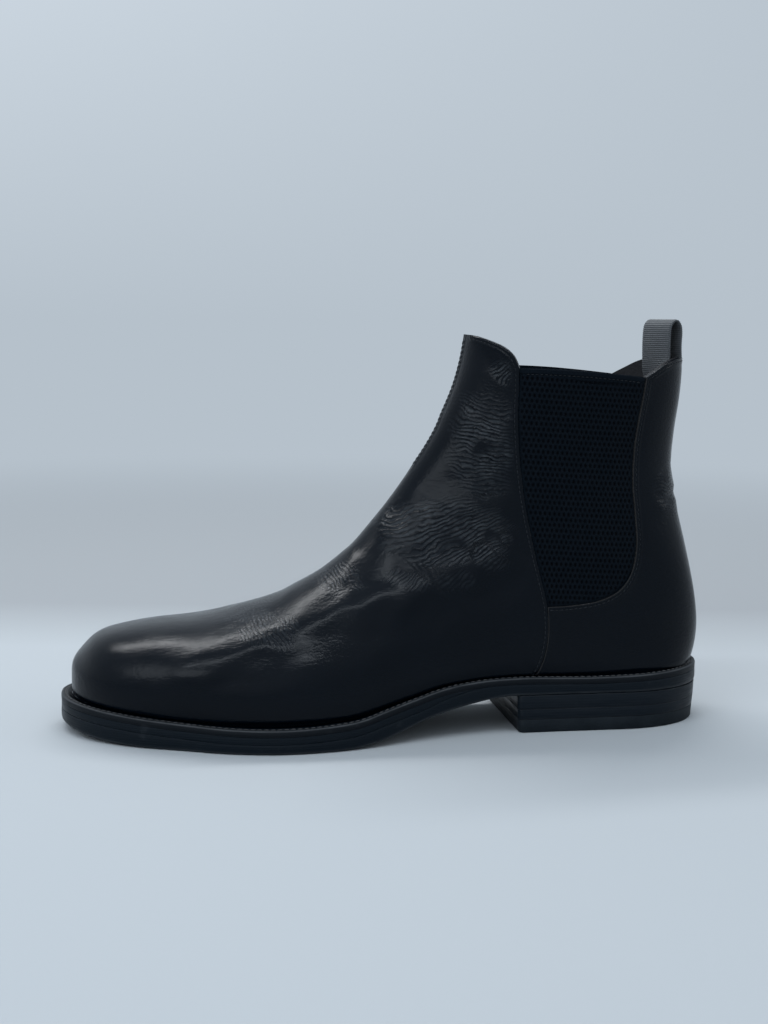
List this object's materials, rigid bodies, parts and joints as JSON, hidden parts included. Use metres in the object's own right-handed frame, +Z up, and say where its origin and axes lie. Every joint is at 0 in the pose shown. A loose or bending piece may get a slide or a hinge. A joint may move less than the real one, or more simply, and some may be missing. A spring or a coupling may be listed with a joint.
{
  "type": "chelsea boot",
  "caption": "Left black leather chelsea boot with elastic side gussets, a woven pull tab on the back, a stitched welt and a stacked heel.",
  "frame": {"origin": "middle of the boot's footprint, on the surface that the sole stands on", "axes": "+Z up, -X towards the toe and +X towards the heel, -Y towards the outer (lateral) side of this left boot"},
  "size_m": [0.31, 0.1125, 0.1946],
  "materials": {
    "upper_leather": "glossy black calf",
    "elastic": "matt black woven elastic",
    "lining_leather": "matt black lining leather",
    "stiffener": "resin-stiffened fibre board",
    "tab_webbing": "grey grosgrain webbing",
    "sock_leather": "matt black",
    "foam": "soft foam",
    "insole_leather": "natural vegetable tanned",
    "cork": "cork granules",
    "steel": "spring steel",
    "welt_leather": "black, waxed",
    "sole_leather": "black edge ink",
    "heel_leather": "black edge ink",
    "top_lift_rubber": "black rubber",
    "brass": "bright"
  },
  "bodies": {
    "boot": {"vamp": "upper_leather", "quarter": "upper_leather", "gusset_lateral": "elastic", "gusset_medial": "elastic", "vamp_lining": "lining_leather", "quarter_lining": "lining_leather", "toe_puff": "stiffener", "heel_counter": "stiffener", "sock_liner": "sock_leather", "heel_pad": "foam", "insole": "insole_leather", "insole_rib": "stiffener", "cork_filler": "cork", "heel_seat": "insole_leather", "shank": "steel", "welt": "welt_leather", "midsole": "sole_leather", "outsole": "sole_leather", "heel_lift_upper": "heel_leather", "heel_lift_lower": "heel_leather", "top_lift": "top_lift_rubber", "heel_nails": "brass"},
    "shaft_back": {"quarter_top": "upper_leather", "quarter_top_lining": "lining_leather", "pull_tail": "tab_webbing"},
    "pull_tab": {"pull_loop": "tab_webbing"}
  },
  "joints": [
    {"name": "shaft_opening", "type": "hinge", "parent": "boot", "child": "shaft_back", "pos_m": [0.1444, 0.0045, 0.103], "axis": [0, 1, 0], "range_deg": [0, 12], "stiffness_Nm_per_rad": 1.5, "deforming": ["gusset_lateral", "gusset_medial"]},
    {"name": "pull_tab_fold", "type": "hinge", "parent": "shaft_back", "child": "pull_tab", "pos_m": [0.1374, 0.0045, 0.1774], "axis": [-0.2924, 0.9563, 0], "range_deg": [-45, 60], "stiffness_Nm_per_rad": 0.004}
  ]
}
